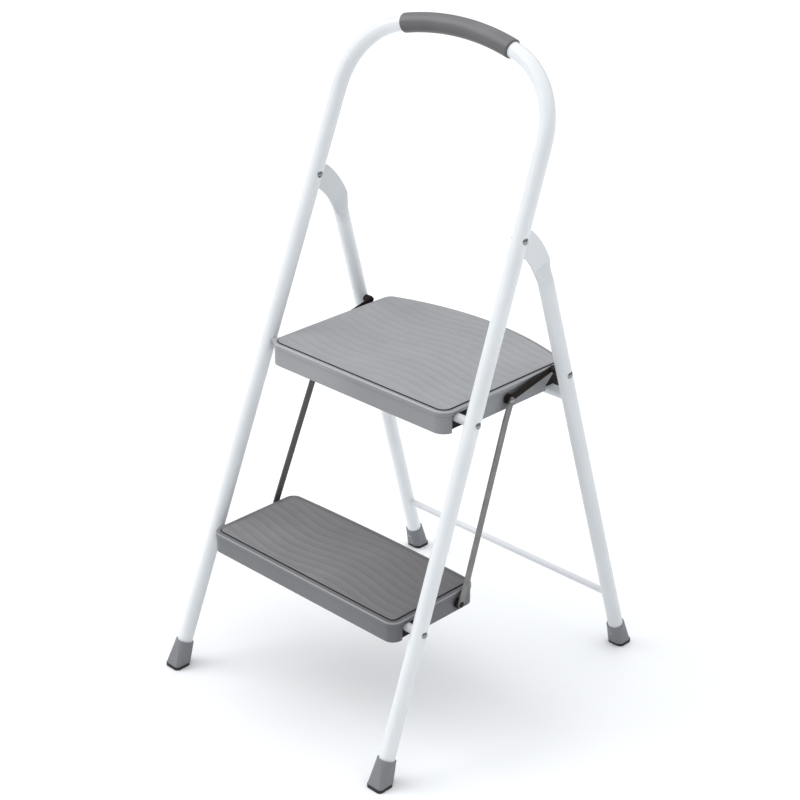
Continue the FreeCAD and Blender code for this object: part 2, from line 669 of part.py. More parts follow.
def platform_edges(which, inset):
    """Outline of a step's deck moved inwards by inset: rounded corners and a bowed rear edge."""
    half = value(which + "_half_width") - inset
    front = value(which + "_front") + inset
    crown = value(which + "_crown_radius") - inset
    crown_centre = value(which + "_rear") - value(which + "_crown_radius")
    front_corner = max(value(which + "_front_corner") - inset, value("least_corner"))
    rear_corner = max(value("rear_corner") - inset, value("least_corner"))
    corner_x = half - rear_corner
    corner_y = crown_centre + math.sqrt((crown - rear_corner) ** 2 - corner_x ** 2)
    splay = math.atan2(corner_x, corner_y - crown_centre)
    rear_end = Vector(crown * math.sin(splay), crown_centre + crown * math.cos(splay), 0)

    def on_corner(x, y, radius, angle):
        return Vector(x + radius * math.cos(angle), y + radius * math.sin(angle), 0)

    def left(point):
        return Vector(-point.x, point.y, 0)

    front_y = front + front_corner
    front_x = half - front_corner
    quarter = math.pi / 2
    side_front = Vector(half, front_y, 0)
    side_rear = Vector(half, corner_y, 0)
    front_right = Vector(front_x, front, 0)
    front_middle = on_corner(front_x, front_y, front_corner, -quarter / 2)
    rear_middle = on_corner(corner_x, corner_y, rear_corner, (quarter - splay) / 2)
    return [
        Part.LineSegment(left(front_right), front_right),
        Part.Arc(front_right, front_middle, side_front),
        Part.LineSegment(side_front, side_rear),
        Part.Arc(side_rear, rear_middle, rear_end),
        Part.Arc(rear_end, Vector(0, crown_centre + crown, 0), left(rear_end)),
        Part.Arc(left(rear_end), left(rear_middle), left(side_rear)),
        Part.LineSegment(left(side_rear), left(side_front)),
        Part.Arc(left(side_front), left(front_middle), left(front_right)),
    ]


def at_height(z):
    """Offset of a sketch on the XY plane."""
    return Placement(Vector(0, 0, z), Rotation())


def pivot_notch(which):
    """Notch in a step's side walls for the spacer on its pivot."""
    low = value(which + "_top") - value(which + "_height") - value("wall")
    high = value("spacer_diameter") / 2 + value("side_gap")
    ahead = -value("notch_ahead")
    behind = value("notch_behind")
    return [(ahead, low), (behind, low), (behind, high), (ahead, high)]


def hook_notch():
    """Notch in the upper step's side walls over the rear cross bar."""
    bar = on_rear(value("upper_bar_along")) - UPPER_PIVOT
    low = value("upper_top") - value("upper_height") - value("wall")
    high = value("hook_notch_top")
    ahead = bar.y - value("hook_notch")
    behind = bar.y + value("hook_notch")
    corner = high - value("hook_notch_slope")
    return [(ahead, low), (behind, low), (behind, high), (bar.y, high), (ahead, corner)]


def step_shell(which, pivot, notches):
    """Moulded step: a deck with a band around it, walls below, ribs, and notches in the side walls."""
    name = which.capitalize() + "StepShell"
    body = new_body(name, which + "_step_shell", Placement(Vector(0, pivot.y, pivot.z), Rotation()))
    top = value(which + "_top")
    bottom = top - value(which + "_height")
    band = new_sketch(body, "XY_Plane", name + "Band", at_height(top))
    draw_edges(band, platform_edges(which, 0))
    pad(body, band, cell("rim_height"), reverse=True)
    fillet(body, cell("rim_round"), lambda e: e.BoundBox.ZMin > top - 0.01)
    walls = new_sketch(body, "XY_Plane", name + "Walls", at_height(bottom))
    draw_edges(walls, platform_edges(which, value("rim_overhang")))
    pad(body, walls, cell(which + "_height") + " - " + cell("rim_height"))
    hollow = new_sketch(body, "XY_Plane", name + "Hollow", at_height(bottom))
    draw_edges(hollow, platform_edges(which, value("rim_overhang") + value("wall")))
    cut(body, hollow, cell(which + "_height") + " - " + cell("deck"), reverse=True)
    recess = new_sketch(body, "XY_Plane", name + "Recess", at_height(top))
    draw_edges(recess, platform_edges(which, value(which + "_mat_margin")))
    cut(body, recess, cell("mat_recess"))

    deck_under = top - value("deck")
    half = value(which + "_half_width") - value("rim_overhang") - value("wall") - value("bracket_thickness")
    half -= value("side_gap")
    in_wall = value("rim_overhang") + value("wall") / 2
    front = value(which + "_front") + in_wall
    crown = value(which + "_crown_radius")
    thick = value("rib") / 2

    def rear_at(x):
        """Within the bowed rear wall, at a distance from the middle plane."""
        sag = crown - math.sqrt(crown ** 2 - (abs(x) + thick) ** 2)
        return value(which + "_rear") - in_wall - sag

    rib_x = [n * value(which + "_rib_pitch") for n in (-2, -1, 0, 1, 2)]
    rib_count = int((value(which + "_rear") - value(which + "_front")) // value("cross_rib_pitch"))
    rib_y = [value(which + "_front") + n * value("cross_rib_pitch") for n in range(1, rib_count)]
    for title, boxes in (
        ("Long", [(x - thick, front, x + thick, rear_at(x)) for x in rib_x]),
        ("Cross", [(-half, y - thick, half, y + thick) for y in rib_y]),
    ):
        ribs = new_sketch(body, "XY_Plane", name + title + "Ribs", at_height(deck_under))
        for x0, y0, x1, y1 in boxes:
            draw_polygon(ribs, [(x0, y0), (x1, y0), (x1, y1), (x0, y1)])
        pad(body, ribs, cell("rib_height"), reverse=True)
    for number, outline in enumerate(notches):
        notch = new_sketch(body, "YZ_Plane", "%sNotch%d" % (name, number))
        draw_polygon(notch, outline)
        cut(body, notch, symmetric=True)
    side_depth = cell("rim_overhang") + " + " + cell("wall")
    for side, title in ((-1, "Left"), (1, "Right")):
        outside = Placement(Vector(0, 0, side * value(which + "_half_width")), Rotation())
        hole = new_sketch(body, "YZ_Plane", name + title + "Hole", outside)
        draw_circle(hole, PIN_OFFSET.y, PIN_OFFSET.z, cell("link_pin_diameter") + " / 2")
        cut(body, hole, side_depth, reverse=side < 0)
    return body


def step_mat(which, pivot):
    """Tread mat that lies in the deck's recess, a groove all round it."""
    name = which.capitalize() + "StepMat"
    body = new_body(name, which + "_step_mat", Placement(Vector(0, pivot.y, pivot.z), Rotation()))
    floor = value(which + "_top") - value("mat_recess")
    outline = new_sketch(body, "XY_Plane", name + "Outline", at_height(floor))
    draw_edges(outline, platform_edges(which, value(which + "_mat_margin") + value("mat_gap")))
    pad(body, outline, cell("mat_thickness"))
    return body


def side_bracket(which, pivot, outline):
    """Right steel bracket against the inside of a step's wall, with its two pivot holes."""
    name = which.capitalize() + "RightBracket"
    body = new_body(name, which + "_step_right_bracket", Placement(Vector(0, pivot.y, pivot.z), Rotation()))
    outside = value(which + "_half_width") - value("rim_overhang") - value("wall")
    plate = new_sketch(body, "YZ_Plane", name + "Plate",
                       Placement(Vector(0, 0, outside - value("bracket_thickness")), Rotation()))
    draw_edges(plate, outline)
    pad(body, plate, cell("bracket_thickness"))
    holes = new_sketch(body, "YZ_Plane", name + "Holes")
    draw_circle(holes, 0, 0, cell("rivet_diameter") + " / 2 + " + cell("running_gap"))
    draw_circle(holes, PIN_OFFSET.y, PIN_OFFSET.z, cell("link_pin_diameter") + " / 2")
    cut(body, holes, symmetric=True)
    return body


def bar_edges(points):
    """Straight edges through points."""
    corners = [Vector(y, z, 0) for y, z in points]
    return [Part.LineSegment(a, b) for a, b in zip(corners, corners[1:])]


def upper_bracket_outline():
    """Side bracket of the upper step: a strip whose hooked rear end sits on the cross bar."""
    bar = on_rear(value("upper_bar_along")) - UPPER_PIVOT
    reach = value("upper_bar_diameter") / 2 + value("side_gap")
    crotch = bar.z + reach
    lip = bar.z - value("hook_lip")
    back = bar.y + reach + value("hook_wall")
    corner = math.sqrt(0.5) * reach
    high = value("upper_top") - value("deck") - value("side_gap")
    ahead = -value("bracket_ahead")
    low = -value("bracket_below")
    return bar_edges([
        (bar.y + reach, bar.z), (bar.y + reach, lip), (back, lip), (back, crotch), (bar.y, high),
        (0, high), (ahead, 0), (ahead, low), (bar.y - reach - value("hook_wall"), crotch), (bar.y, crotch),
    ]) + [Part.Arc(Vector(bar.y, crotch, 0), Vector(bar.y + corner, bar.z + corner, 0),
                   Vector(bar.y + reach, bar.z, 0))]


def lower_bracket_outline():
    """Side bracket of the lower step: a plain strip past both pivots."""
    high = value("lower_top") - value("deck") - value("side_gap")
    ahead = -value("bracket_ahead")
    low = -value("bracket_below")
    rear = PIN_OFFSET.y + value("bracket_behind")
    return bar_edges([(ahead, low), (rear, low), (rear, high), (0, high), (ahead, 0), (ahead, low)])


# ---------------------------------------------------------------- link bars

def long_link():
    """Right long link: a flat bar with a set in it, from the upper step's pin down to the lower step's."""
    frame = Placement(Vector(0, UPPER_PIN.y, UPPER_PIN.z), Rotation(X_AXIS, -value("front_lean")))
    body = new_body("RightLongLink", "right_long_link", frame)
    thick = value("link_thickness")
    length = (UPPER_PIN - LOWER_PIN).Length
    end = value("long_link_width") / 2
    near = SHORT_LINK_X + thick + value("side_gap")
    far = LOWER_SIDE + value("lower_link_boss") + value("side_gap")
    set_from = -value("set_start") * length
    set_to = -value("set_end") * length
    profile = new_sketch(body, "XZ_Plane", "LongLinkProfile")
    draw_polygon(profile, [
        (near, end), (near + thick, end), (near + thick, set_from), (far + thick, set_to),
        (far + thick, -length - end), (far, -length - end), (far, set_to), (near, set_from),
    ])
    pad(body, profile, cell("long_link_width"), symmetric=True)
    tips = (end, -length - end)

    def level_with(edge, z):
        return abs(edge.BoundBox.ZMin - z) < TOLERANCE and abs(edge.BoundBox.ZMax - z) < TOLERANCE

    fillet(body, cell("long_link_width") + " / 2 - %s" % TOLERANCE,
           lambda e: e.BoundBox.XLength > thick / 2 and any(level_with(e, z) for z in tips))
    holes = new_sketch(body, "YZ_Plane", "LongLinkHoles")
    for z in (0, -length):
        draw_circle(holes, 0, z, cell("link_pin_diameter") + " / 2 + " + cell("running_gap"))
    cut(body, holes, symmetric=True)
    return body


def short_link():
    """Right short link: a flat bar between the rear leg and the upper step's pin."""
    run = UPPER_PIN - SHORT_LINK_PIVOT
    angle = math.degrees(math.atan2(run.z, run.y))
    frame = Placement(Vector(0, SHORT_LINK_PIVOT.y, SHORT_LINK_PIVOT.z), Rotation(X_AXIS, angle))
    body = new_body("RightShortLink", "right_short_link", frame)
    half = value("short_link_width") / 2
    length = run.Length
    outline = new_sketch(body, "YZ_Plane", "ShortLinkOutline",
                         Placement(Vector(0, 0, SHORT_LINK_X), Rotation()))
    draw_edges(outline, [
        Part.LineSegment(Vector(0, -half, 0), Vector(length, -half, 0)),
        Part.Arc(Vector(length, -half, 0), Vector(length + half, 0, 0), Vector(length, half, 0)),
        Part.LineSegment(Vector(length, half, 0), Vector(0, half, 0)),
        Part.Arc(Vector(0, half, 0), Vector(-half, 0, 0), Vector(0, -half, 0)),
    ])
    pad(body, outline, cell("link_thickness"))
    holes = new_sketch(body, "YZ_Plane", "ShortLinkHoles")
    draw_circle(holes, 0, 0, cell("link_pin_diameter") + " / 2")
    draw_circle(holes, length, 0, cell("link_pin_diameter") + " / 2 + " + cell("running_gap"))
    cut(body, holes, symmetric=True)
    return body


# beside the upper step a boss, the short link and the long link are stacked outwards from its wall
SHORT_LINK_X = UPPER_SIDE + value("upper_link_boss") + value("side_gap")

parts = []


def keep(part):
    """Add a finished sub-part to the stool."""
    parts.append(part)
    return part


# front frame
keep(front_frame_tube())
keep(hand_grip())
for side, hand in ((-1, "left"), (1, "right")):
    for end, plane in (("front", FRONT_PLANE), ("rear", REAR_PLANE)):
        title = (end + " " + hand).title().replace(" ", "")
        keep(foot_boot(title + "Boot", "%s_%s_boot" % (end, hand), plane, side, end + "_boot_along",
                       end + "_boot_corner"))
        keep(foot_pad(title + "Pad", "%s_%s_foot_pad" % (end, hand), plane, side, end + "_pad_corner"))

# rear frame
right_leg = keep(rear_leg())
keep(mirrored(right_leg, "LeftRearLeg", "left_rear_leg"))
keep(cross_bar("UpperRearBar", "rear_upper_bar", "upper_bar_along", "upper_bar_diameter",
               cell("upper_bar_diameter") + " / 2 - " + cell("tube_wall")))
keep(cross_bar("LowerRearBar", "rear_lower_bar", "lower_bar_along", "lower_bar_diameter"))

# steps
keep(step_shell("upper", UPPER_PIVOT, [pivot_notch("upper"), hook_notch()]))
keep(step_mat("upper", UPPER_PIVOT))
bracket = keep(side_bracket("upper", UPPER_PIVOT, upper_bracket_outline()))
keep(mirrored(bracket, "UpperLeftBracket", "upper_step_left_bracket"))
keep(step_shell("lower", LOWER_PIVOT, [pivot_notch("lower")]))
keep(step_mat("lower", LOWER_PIVOT))
bracket = keep(side_bracket("lower", LOWER_PIVOT, lower_bracket_outline()))
keep(mirrored(bracket, "LowerLeftBracket", "lower_step_left_bracket"))

# links
link = keep(long_link())
keep(mirrored(link, "LeftLongLink", "left_long_link"))
link = keep(short_link())
keep(mirrored(link, "LeftShortLink", "left_short_link"))

# rivets, spacers and pins on the pivots
SHAFT = value("rivet_diameter") / 2
PIN = value("link_pin_diameter") / 2
HEAD = value("head_radius")
HEAD_HEIGHT = value("head_height")
GAP = value("side_gap")
LINK = value("link_thickness")
LINK_HEAD = value("link_head_radius")
SEAT = TUBE_RADIUS - value("head_seat")
hinge_x = leg_x(value("hinge_along"))
keep(rivet_pair("HingeRivet", "hinge_rivets", HINGE, SHAFT,
                hinge_x - SEAT, hinge_x + SEAT, HEAD, HEAD, HEAD_HEIGHT))
for which, pivot, along, side_x in (("upper", UPPER_PIVOT, "upper_pivot_along", UPPER_SIDE),
                                    ("lower", LOWER_PIVOT, "lower_pivot_along", LOWER_SIDE)):
    tube_x = leg_x(value(along))
    bracket_outside = side_x - value("wall")
    bracket_inside = bracket_outside - value("bracket_thickness")
    title = which.capitalize()
    keep(rivet_pair(title + "PivotRivet", which + "_pivot_rivets", pivot, SHAFT,
                    bracket_inside - GAP, tube_x + SEAT, HEAD, HEAD, HEAD_HEIGHT))
    keep(ring_pair(title + "Spacer", which + "_pivot_spacers", pivot, value("spacer_diameter") / 2, SHAFT,
                   bracket_outside + GAP, tube_x - TUBE_RADIUS / 2, FRONT_PLANE))
    boss = value(which + "_link_boss")
    shaft_end = side_x + boss + GAP + LINK + GAP
    head_height = value("thin_head_height")
    if which == "upper":
        shaft_end += LINK + GAP
        head_height = value("link_head_height")
    keep(rivet_pair(title + "LinkPin", which + "_link_pins", pivot + PIN_OFFSET, PIN,
                    bracket_inside, shaft_end, 0, LINK_HEAD, head_height))
    keep(ring_pair(title + "LinkBoss", which + "_link_bosses", pivot + PIN_OFFSET,
                   value("boss_diameter") / 2, PIN, side_x, side_x + boss))
leg_side = leg_x(value("short_link_along"))
keep(rivet_pair("ShortLinkRivet", "short_link_rivets", SHORT_LINK_PIVOT, PIN,
                SHORT_LINK_X + LINK + GAP, leg_side + SEAT, 0, HEAD, HEAD_HEIGHT))
keep(ring_pair("ShortLinkSpacer", "short_link_spacers", SHORT_LINK_PIVOT, HEAD, PIN,
               SHORT_LINK_X + LINK + GAP, leg_side - TUBE_RADIUS / 2, REAR_PLANE))
keep(rivet_pair("LinkEndRivet", "link_end_rivets", SHORT_LINK_PIVOT, PIN,
                SHORT_LINK_X, SHORT_LINK_X + LINK, LINK_HEAD, 0, value("thin_head_height")))
keep(boot_pins())


# ---------------------------------------------------------------- checks and files

doc.recompute()
for item in doc.Objects:
    if "Invalid" in item.State or "Error" in item.State:
        raise RuntimeError("%s is in state %s" % (item.Label, item.State))
for part in parts:
    if part.Shape.isNull() or not part.Shape.isValid():
        raise RuntimeError(part.Label + " has no valid shape")

os.makedirs("parts", exist_ok=True)
for part in parts:
    part.Shape.exportStep(os.path.join("parts", part.Label + ".step"))
    print("%-28s %8.2f cm3  %d solids" % (part.Label, part.Shape.Volume / 1000, len(part.Shape.Solids)))
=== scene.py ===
import bpy
import json
import math
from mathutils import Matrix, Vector


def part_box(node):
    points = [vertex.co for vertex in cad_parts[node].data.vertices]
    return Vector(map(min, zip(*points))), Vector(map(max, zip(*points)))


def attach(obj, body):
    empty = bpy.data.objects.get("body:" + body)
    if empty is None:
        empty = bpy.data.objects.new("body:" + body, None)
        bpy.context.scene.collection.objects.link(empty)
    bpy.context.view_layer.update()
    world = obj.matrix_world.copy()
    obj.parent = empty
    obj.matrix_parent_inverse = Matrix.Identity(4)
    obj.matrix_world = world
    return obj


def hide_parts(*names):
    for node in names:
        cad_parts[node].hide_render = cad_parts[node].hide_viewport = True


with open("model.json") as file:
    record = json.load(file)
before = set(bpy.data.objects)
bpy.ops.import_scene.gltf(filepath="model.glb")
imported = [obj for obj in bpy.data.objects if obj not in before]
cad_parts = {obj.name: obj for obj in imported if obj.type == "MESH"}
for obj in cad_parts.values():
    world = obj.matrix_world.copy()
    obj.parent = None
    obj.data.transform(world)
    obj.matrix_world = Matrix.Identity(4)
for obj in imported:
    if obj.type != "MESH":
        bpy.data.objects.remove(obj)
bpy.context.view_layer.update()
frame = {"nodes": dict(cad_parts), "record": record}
nodes = frame["nodes"]
record = frame["record"]
scene = bpy.context.scene
MM = 0.001


# ---------------------------------------------------------------- camera and light

def aim(obj, target):
    obj.rotation_euler = (Vector(target) - obj.location).to_track_quat("-Z", "Y").to_euler()


camera = bpy.data.objects.new("camera", bpy.data.cameras.new("camera"))
scene.collection.objects.link(camera)
azimuth, elevation = math.radians(44.93), math.radians(25.24)
distance = 2.7074
look_at = Vector((0, -0.04825, 0.437))
direction = Vector((math.sin(azimuth) * math.cos(elevation),
                    -math.cos(azimuth) * math.cos(elevation),
                    math.sin(elevation)))
camera.location = look_at + direction * distance
aim(camera, look_at)
camera.data.sensor_width = 36
camera.data.lens = 87.28
camera.data.shift_x = 0.0272
camera.data.clip_end = 100
scene.camera = camera


def sun(name, location, strength, spread):
    """A large soft box far away: its light comes from a place's side, over a spread in degrees."""
    light = bpy.data.lights.new(name, "SUN")
    light.energy = strength
    light.angle = math.radians(spread)
    obj = bpy.data.objects.new(name, light)
    scene.collection.objects.link(obj)
    obj.location = location
    aim(obj, (0, 0, 0))


sun("key", (-2.55, -1.98, 2.4), strength=1.3, spread=45)
sun("top", (0.15, 0.45, 3), strength=1.55, spread=100)

# the studio's dome: dim at the horizon, brighter overhead, a little cool
HORIZON, OVERHEAD = (0.0, 0.24), (0.75, 0.70)
COOL = (0.96, 0.98, 1)
world = bpy.data.worlds.new("studio")
scene.world = world
world.use_nodes = True
sky = world.node_tree.nodes
wires = world.node_tree.links
around = sky.new("ShaderNodeTexCoord").outputs["Generated"]
split = sky.new("ShaderNodeSeparateXYZ")
wires.new(around, split.inputs["Vector"])
dome = sky.new("ShaderNodeValToRGB")
for stop, (height, level) in zip(dome.color_ramp.elements, (HORIZON, OVERHEAD)):
    stop.position = height
    stop.color = (*[c * level for c in COOL], 1)
wires.new(split.outputs["Z"], dome.inputs["Fac"])
wires.new(dome.outputs["Color"], sky["Background"].inputs["Color"])
scene.view_settings.view_transform = "Standard"


# ---------------------------------------------------------------- materials

class Tree:
    """A material whose textures follow the piece: they are laid out in its object space, in metres."""

    def __init__(self, name):
        self.material = bpy.data.materials.new(name)
        self.material.use_nodes = True
        self.nodes = self.material.node_tree.nodes
        self.links = self.material.node_tree.links
        self.shader = self.nodes["Principled BSDF"]
        self.place = self.nodes.new("ShaderNodeTexCoord").outputs["Object"]

    def noise(self, scale, detail=3.0, roughness=0.55, stretch=None):
        node = self.nodes.new("ShaderNodeTexNoise")
        node.inputs["Scale"].default_value = scale
        node.inputs["Detail"].default_value = detail
        node.inputs["Roughness"].default_value = roughness
        if stretch is None:
            self.links.new(self.place, node.inputs["Vector"])
        else:
            mapping = self.nodes.new("ShaderNodeMapping")
            mapping.inputs["Scale"].default_value = stretch
            self.links.new(self.place, mapping.inputs["Vector"])
            self.links.new(mapping.outputs["Vector"], node.inputs["Vector"])
        return node.outputs["Fac"]

    def ramp(self, source, stops):
        node = self.nodes.new("ShaderNodeValToRGB")
        elements = node.color_ramp.elements
        while len(elements) < len(stops):
            elements.new(0.5)
        for element, (at, colour) in zip(elements, stops):
            element.position = at
            element.color = (*colour, 1)
        self.links.new(source, node.inputs["Fac"])
        return node.outputs["Color"]

    def span(self, source, low, high, start=0.0, full=1.0):
        """From low, where the source is at start, to high, where it is at full."""
        node = self.nodes.new("ShaderNodeMapRange")
        node.inputs["From Min"].default_value = start
        node.inputs["From Max"].default_value = full
        node.inputs["To Min"].default_value = low
        node.inputs["To Max"].default_value = high
        self.links.new(source, node.inputs["Value"])
        return node.outputs["Result"]

    def along(self, coordinate, axis):
        """One axis of a texture coordinate."""
        split = self.nodes.new("ShaderNodeSeparateXYZ")
        self.links.new(self.nodes.new("ShaderNodeTexCoord").outputs[coordinate], split.inputs["Vector"])
        return split.outputs[axis]

    def mixed(self, factor, first, second):
        node = self.nodes.new("ShaderNodeMix")
        node.data_type = "RGBA"
        self.links.new(factor, node.inputs["Factor"])
        for socket, source in ((node.inputs["A"], first), (node.inputs["B"], second)):
            if isinstance(source, tuple):
                socket.default_value = (*source, 1)
            else:
                self.links.new(source, socket)
        return node.outputs["Result"]

    def upper_end(self, start, full):
        """From 0 to 1 near the upper end of a piece, between two shares of its height."""
        return self.span(self.along("Generated", "Z"), 0, 1, start, full)

    def painted_shading_across(self, start, full):
        """Mask for painted shading across the stool: from 0 to 1 from its left to its right, between two
        places in metres.
        """
        return self.span(self.along("Object", "X"), 0, 1, start, full)

    def painted_edge_highlight(self):
        """Mask for a painted highlight where the surface leans between upright and level: the rounding
        of an upper edge.
        """
        flat, edge = (0, 0, 0), (1, 1, 1)
        stops = [(0.10, flat), (0.30, edge), (0.90, edge), (0.97, flat)]
        return self.ramp(self.along("Normal", "Z"), stops)

    def underside(self, shade):
        """From painted shade where the surface looks down to 1 where it looks up."""
        return self.span(self.along("Normal", "Z"), shade, 1, start=-0.5, full=0.4)

    def painted_hollow_shade(self, distance, shade):
        """How open a spot is, as painted shade: from shade, closed in all round within a distance, to 1
        in the open.
        """
        node = self.nodes.new("ShaderNodeAmbientOcclusion")
        node.samples = 8
        node.inputs["Distance"].default_value = distance
        return self.span(node.outputs["AO"], shade, 1.0)

    def scaled(self, source, factor):
        """A colour darkened by a factor."""
        return self.mixed(factor, (0, 0, 0), source)

    def bump(self, layers):
        """Bump nodes one after another: (source, strength, distance in metres)."""
        normal = None
        for source, strength, distance in layers:
            node = self.nodes.new("ShaderNodeBump")
            node.inputs["Strength"].default_value = strength
            node.inputs["Distance"].default_value = distance
            self.links.new(source, node.inputs["Height"])
            if normal is not None:
                self.links.new(normal, node.inputs["Normal"])
            normal = node.outputs["Normal"]
        self.links.new(normal, self.shader.inputs["Normal"])

    def colour(self, source):
        self.links.new(source, self.shader.inputs["Base Color"])

    def rough(self, source):
        self.links.new(source, self.shader.inputs["Roughness"])

    def set(self, **values):
        for name, value in values.items():
            self.shader.inputs[name.replace("_", " ")].default_value = value


def tone(base, amount):
    """A colour made lighter or darker."""
    return tuple(min(1.0, c * amount) for c in base)


def powder_coat(name, base, upper=None):
    """Smooth paint on steel tube; upper is the tone of a rear leg's flattened end, a painted shade
    there.
    """
    t = Tree(name)
    broad = t.noise(9, 2)
    coated = t.ramp(broad, [(0.3, tone(base, 0.965)), (0.7, tone(base, 1.02))])
    # painted shade on a rear leg's flattened end
    if upper is not None:
        coated = t.mixed(t.upper_end(0.86, 0.90), coated, upper)
    t.colour(coated)
    t.rough(t.span(t.noise(160, 3), 0.30, 0.44))
    t.bump([(t.noise(650, 2), 0.12, 0.0004), (t.noise(2600, 1), 0.05, 0.0001)])
    t.set(Coat_Weight=0.25, Coat_Roughness=0.22, IOR=1.5)
    return t.material


def moulded(name, base, grain, rough, variation=0.04, bump=0.16, hollows=None, edge=None, turn=None,
            below=None):
    """
    Moulded plastic with a fine grain. Each last value is left out where a piece doesn't need it:
    hollows, the reach of the painted shade in grooves; edge, the tone of the painted highlight on
    rounded upper edges; turn, two places between the stool's left and right and the tone beyond them, a
    painted shading across the piece; below, the tone of the painted shade on the underside.
    """
    t = Tree(name)
    broad = t.noise(14, 3)
    fine = t.noise(grain, 2)
    tinted = t.ramp(broad, [(0.3, tone(base, 1 - variation)), (0.7, tone(base, 1 + variation))])
    # painted shading: the tone beyond the two places stands in for light falling differently across the
    # stool
    if turn is not None:
        start, full, amount = turn
        tinted = t.mixed(t.painted_shading_across(start, full), tinted, tone(base, amount))
    grained = t.mixed(t.span(fine, 0.0, 0.10), tinted, tone(base, 0.7))
    # painted highlight on the rounded upper edges
    if edge is not None:
        grained = t.mixed(t.painted_edge_highlight(), grained, tone(base, edge))
    # painted shade in grooves and hollows
    if hollows is not None:
        grained = t.scaled(grained, t.painted_hollow_shade(hollows, -0.2))
    # painted shade on surfaces that look down
    if below is not None:
        grained = t.scaled(grained, t.underside(below))
    t.colour(grained)
    t.rough(t.span(t.noise(240, 3), *rough))
    t.bump([(fine, bump, 0.0002)])
    t.set(IOR=1.48)
    return t.material


def rubber(name, base):
    """Matt rubber with a coarse grain."""
    t = Tree(name)
    t.colour(t.ramp(t.noise(60, 4), [(0.3, tone(base, 0.85)), (0.75, tone(base, 1.35))]))
    t.rough(t.span(t.noise(420, 3), 0.62, 0.82))
    t.bump([(t.noise(1100, 3), 0.3, 0.0003)])
    t.set(IOR=1.45)
    return t.material


def coated_steel(name, base, rough, coat=0.15, ior=1.5, dark_upper_end=None):
    """Painted bar and sheet steel; the colour given for the upper end darkens it around the pin there.
    """
    t = Tree(name)
    coated = t.ramp(t.noise(70, 4), [(0.3, tone(base, 0.85)), (0.7, tone(base, 1.2))])
    # darker around the pin at the upper end
    if dark_upper_end is not None:
        coated = t.mixed(t.upper_end(0.955, 0.985), coated, dark_upper_end)
    t.colour(coated)
    t.rough(t.span(t.noise(300, 3), *rough))
    t.bump([(t.noise(900, 3), 0.14, 0.0002)])
    t.set(IOR=ior, Coat_Weight=coat, Coat_Roughness=0.3)
    return t.material


def bright_steel(name, base):
    """Bare rivet steel with turning marks."""
    t = Tree(name)
    t.colour(t.ramp(t.noise(500, 3), [(0.3, tone(base, 0.8)), (0.7, base)]))
    t.rough(t.span(t.noise(900, 3, stretch=(1, 6, 1)), 0.10, 0.24))
    t.bump([(t.noise(1800, 2), 0.08, 0.0001)])
    t.set(Metallic=1.0)
    return t.material


WHITE = (0.755, 0.78, 0.80)
# near-black round the upper pin of the long links
DARK_END = (0.02, 0.014, 0.012)
materials = {
    "frame": powder_coat("white_powder_coat", WHITE),
    # lit and shaded copies of the white powder coat: painted shade on the rear frame, painted light on
    # the left rear leg and painted shade on its flattened end
    "rear_frame": powder_coat("rear_powder_coat", tone(WHITE, 0.93)),
    "lit_left_leg": powder_coat("left_rear_powder_coat", tone(WHITE, 1.12), tone(WHITE, 0.86)),
    # painted shade on the sleeve's underside
    "grip": moulded("grip_vinyl", (0.144, 0.140, 0.147), 1100, (0.36, 0.5), 0.10, 0.25, below=0.55),
    "boot": moulded("boot_plastic", (0.20, 0.205, 0.22), 1200, (0.45, 0.6)),
    "foot_pad": rubber("pad_rubber", (0.022, 0.020, 0.020)),
    "bracket": coated_steel("bracket_coat", (0.012, 0.009, 0.008), (0.7, 0.85), 0, 1.3),
    # painted shade on the spacer at the stool's left, which is darker than the one on the right
    "spacer": moulded("spacer_white", (0.30, 0.305, 0.315), 1400, (0.35, 0.5), turn=(-0.05, 0.05, 1.9)),
    "dark_fitting": coated_steel("boss_coat", (0.014, 0.011, 0.010), (0.6, 0.8), 0, 1.35),
    "link": coated_steel("link_coat", (0.18, 0.17, 0.165), (0.45, 0.6), dark_upper_end=DARK_END),
    # painted shade: a darker copy of the link coat for the left long link
    "shaded_left_link": coated_steel("left_link_coat", (0.075, 0.070, 0.067), (0.5, 0.65), dark_upper_end=DARK_END),
    "short_link": coated_steel("short_link_coat", (0.010, 0.0065, 0.005), (0.7, 0.85), 0, 1.3),
    "rivet": bright_steel("rivet_steel", (0.30, 0.30, 0.31)),
}
# painted shade in grooves and hollows, painted highlights on the rounded rims, and painted shade towards
# the right of each step
step_plastic = {
    "upper": moulded("upper_step_plastic", (0.300, 0.305, 0.316), 1500, (0.34, 0.46),
                     hollows=7 * MM, edge=1.28, turn=(-0.07, 0.02, 0.80)),
    "lower": moulded("lower_step_plastic", (0.154, 0.155, 0.164), 1500, (0.34, 0.46),
                     hollows=7 * MM, edge=1.75, turn=(0.08, 0.2, 0.74)),
}
# painted shade: a near-black matt colour on the groove side of each tread's skirt stands in for the
# shade in the gap round the tread
groove_shade = rubber("tread_groove", (0.040, 0.038, 0.038))
# painted shade towards the right of the lower tread
tread_plastic = {
    "upper": moulded("upper_tread_plastic", (0.290, 0.295, 0.305), 1700, (0.5, 0.64), 0.05, 0.2),
    "lower": moulded("lower_tread_plastic", (0.200, 0.193, 0.200), 1700, (0.5, 0.64), 0.05, 0.2,
                     turn=(0.02, 0.2, 0.68)),
}
slots = {entry["node"]: entry["material_slot"] for entry in record["subparts"]}

